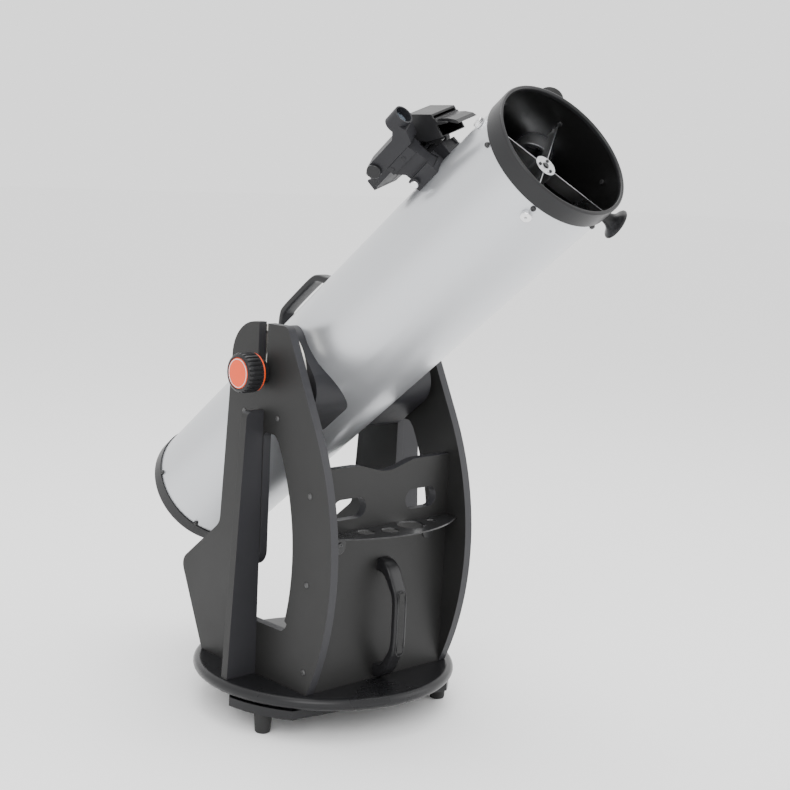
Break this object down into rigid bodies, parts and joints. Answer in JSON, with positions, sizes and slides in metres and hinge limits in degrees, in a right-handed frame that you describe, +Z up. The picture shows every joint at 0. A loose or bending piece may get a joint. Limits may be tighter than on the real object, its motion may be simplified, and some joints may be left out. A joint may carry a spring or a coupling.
{
  "type": "dobsonian telescope",
  "caption": "Newtonian reflector in a rolled tube on an alt-azimuth rocker box, with tension knobs, carry handles, eyepiece rack, reflex sight and phone dock.",
  "frame": {"origin": "point on the floor under the azimuth axis", "axes": "+Z up along the azimuth axis, +X along the altitude axis towards the focuser side, -Y the side that the open end of the tube and the carry handle face"},
  "size_m": [0.4779, 1.0213, 1.1159],
  "materials": {
    "board_black": "satin laminate",
    "pearl_silver": "gloss",
    "satin_black": "satin",
    "soft_black": "matt",
    "orange": "gloss",
    "bright_metal": "polished",
    "cast_aluminium": "satin",
    "black_metal": "satin",
    "zinc_steel": "brushed",
    "bearing_plastic": "satin",
    "cage_plastic": "matt",
    "mirror_glass": "polished",
    "coated_glass": "coated"
  },
  "bodies": {
    "ground": {"ground_board": "board_black", "feet": "soft_black", "pivot_bolt": "zinc_steel"},
    "bearing": {"roller_cage": "cage_plastic", "rollers": "zinc_steel"},
    "rocker": {"rocker_base": "board_black", "side_panel_left": "board_black", "side_panel_right": "board_black", "fins": "board_black", "front_board": "board_black", "eyepiece_rack": "black_metal", "carry_handle": "satin_black", "board_screws": "zinc_steel", "bearing_pegs": "bearing_plastic", "pivot_bushing": "bearing_plastic"},
    "tube_assembly": {"tube": "pearl_silver", "front_ring": "satin_black", "rear_ring": "satin_black", "tube_screws": "black_metal", "saddles": "satin_black", "altitude_discs": "bearing_plastic", "trunnion_studs": "zinc_steel", "tube_handle": "satin_black", "spider": "zinc_steel", "spider_nuts": "bright_metal", "cell_frame": "black_metal", "cell_springs": "zinc_steel", "lock_screws": "satin_black", "focuser_base": "satin_black", "nav_knob": "satin_black", "shoes": "cast_aluminium"},
    "tension_knob_left": {"knob_left": "satin_black", "knob_trim_left": "orange"},
    "tension_knob_right": {"knob_right": "satin_black", "knob_trim_right": "orange"},
    "cell": {"mirror_cell": "black_metal", "primary_mirror": "mirror_glass"},
    "collimator_1": {"collimation_knob_1": "bright_metal"},
    "collimator_2": {"collimation_knob_2": "bright_metal"},
    "collimator_3": {"collimation_knob_3": "bright_metal"},
    "secondary": {"secondary_holder": "black_metal", "secondary_mirror": "mirror_glass"},
    "draw": {"drawtube": "cast_aluminium", "eyepiece_adapter": "black_metal"},
    "focus_drive": {"focus_shaft": "zinc_steel", "focus_knobs": "satin_black"},
    "adapter_thumbscrew": {"adapter_screw": "bright_metal"},
    "eyepiece": {"eyepiece_body": "soft_black", "eyepiece_barrel": "bright_metal"},
    "finder": {"finder_stem": "satin_black", "finder_body": "satin_black", "finder_window": "coated_glass"},
    "finder_brightness": {"finder_dial": "satin_black"},
    "finder_thumbscrew": {"finder_screw": "bright_metal"},
    "dock": {"dock_arm": "satin_black"},
    "dock_thumbscrew": {"dock_screw": "bright_metal"},
    "cradle": {"dock_cradle": "satin_black", "dock_hood": "satin_black"},
    "cradle_screw": {"dock_knob": "satin_black"},
    "clamp": {"clamp_jaw": "satin_black"}
  },
  "joints": [
    {"name": "azimuth", "type": "hinge", "parent": "ground", "child": "rocker", "pos_m": [0, 0, 0.054], "axis": [0, 0, 1], "continuous": true},
    {"name": "bearing_turn", "type": "hinge", "parent": "ground", "child": "bearing", "pos_m": [0, 0, 0.054], "axis": [0, 0, 1], "continuous": true},
    {"name": "altitude", "type": "hinge", "parent": "rocker", "child": "tube_assembly", "pos_m": [0, 0, 0.615], "axis": [-1, 0, 0], "range_deg": [-38.3, 51.7]},
    {"name": "tension_left", "type": "hinge", "parent": "tube_assembly", "child": "tension_knob_left", "pos_m": [-0.1664, 0, 0.615], "axis": [-1, 0, 0], "range_deg": [0, 720]},
    {"name": "tension_right", "type": "hinge", "parent": "tube_assembly", "child": "tension_knob_right", "pos_m": [0.1664, 0, 0.615], "axis": [1, 0, 0], "range_deg": [0, 720]},
    {"name": "cell_piston", "type": "slide", "parent": "tube_assembly", "child": "cell", "axis": [0, -0.7848, 0.6198], "range_m": [0, 0.001]},
    {"name": "collimation_1", "type": "hinge", "parent": "tube_assembly", "child": "collimator_1", "pos_m": [0, 0.41934, 0.39087], "axis": [0, 0.7848, -0.6198], "range_deg": [0, 361]},
    {"name": "collimation_2", "type": "hinge", "parent": "tube_assembly", "child": "collimator_2", "pos_m": [-0.07275, 0.34125, 0.29198], "axis": [0, 0.7848, -0.6198], "range_deg": [0, 361]},
    {"name": "collimation_3", "type": "hinge", "parent": "tube_assembly", "child": "collimator_3", "pos_m": [0.07275, 0.34125, 0.29198], "axis": [0, 0.7848, -0.6198], "range_deg": [0, 361]},
    {"name": "secondary_turn", "type": "hinge", "parent": "tube_assembly", "child": "secondary", "pos_m": [0, -0.45831, 0.97695], "axis": [0, -0.7848, 0.6198], "range_deg": [-10, 10]},
    {"name": "focus", "type": "slide", "parent": "tube_assembly", "child": "draw", "axis": [0.7071, 0.4382, 0.5549], "range_m": [0, 0.048]},
    {"name": "focus_turn", "type": "hinge", "parent": "tube_assembly", "child": "focus_drive", "pos_m": [0.10112, -0.32889, 1.00359], "axis": [0.7071, -0.4382, -0.5549], "range_deg": [-918, 0]},
    {"name": "adapter_screw_turn", "type": "hinge", "parent": "draw", "child": "adapter_thumbscrew", "pos_m": [0.15486, -0.33984, 1.04467], "axis": [0.7071, -0.4382, -0.5549], "range_deg": [0, 720]},
    {"name": "eyepiece_out", "type": "slide", "parent": "draw", "child": "eyepiece", "axis": [0.7071, 0.4382, 0.5549], "range_m": [0, 0.028]},
    {"name": "finder_out", "type": "slide", "parent": "tube_assembly", "child": "finder", "axis": [0, 0.7848, -0.6198], "range_m": [0, 0.03]},
    {"name": "finder_dial_turn", "type": "hinge", "parent": "finder", "child": "finder_brightness", "pos_m": [-0.1415, -0.23625, 0.96448], "axis": [-0.7314, -0.4227, -0.5352], "range_deg": [0, 300]},
    {"name": "finder_screw_turn", "type": "hinge", "parent": "tube_assembly", "child": "finder_thumbscrew", "pos_m": [-0.10397, -0.29281, 0.95095], "axis": [-0.7314, -0.4227, -0.5352], "range_deg": [0, 720]},
    {"name": "dock_out", "type": "slide", "parent": "tube_assembly", "child": "dock", "axis": [0, 0.7848, -0.6198], "range_m": [0, 0.03]},
    {"name": "dock_screw_turn", "type": "hinge", "parent": "tube_assembly", "child": "dock_thumbscrew", "pos_m": [-0.02601, -0.29302, 1.01199], "axis": [0.9397, 0.212, 0.2684], "range_deg": [0, 720]},
    {"name": "cradle_shift", "type": "slide", "parent": "dock", "child": "cradle", "axis": [0.9397, 0.212, 0.2684], "range_m": [-0.002, 0.002]},
    {"name": "cradle_screw_turn", "type": "hinge", "parent": "dock", "child": "cradle_screw", "pos_m": [-0.00188, -0.25186, 1.02539], "axis": [0.9397, 0.212, 0.2684], "range_deg": [-721, 721]},
    {"name": "clamp_open", "type": "slide", "parent": "cradle", "child": "clamp", "axis": [0, 0.7848, -0.6198], "range_m": [0, 0.02], "stiffness_N_per_m": 200, "springref_m": -0.02}
  ],
  "couplings": [
    {"joint": "bearing_turn", "follows": "azimuth", "ratio": 0.5},
    {"joint": "collimation_1", "follows": "cell_piston", "rad_per_m": 6283.2},
    {"joint": "collimation_2", "follows": "cell_piston", "rad_per_m": 6283.2},
    {"joint": "collimation_3", "follows": "cell_piston", "rad_per_m": 6283.2},
    {"joint": "focus_turn", "follows": "focus", "rad_per_m": -333.33},
    {"joint": "cradle_screw_turn", "follows": "cradle_shift", "rad_per_m": 6283.2}
  ]
}
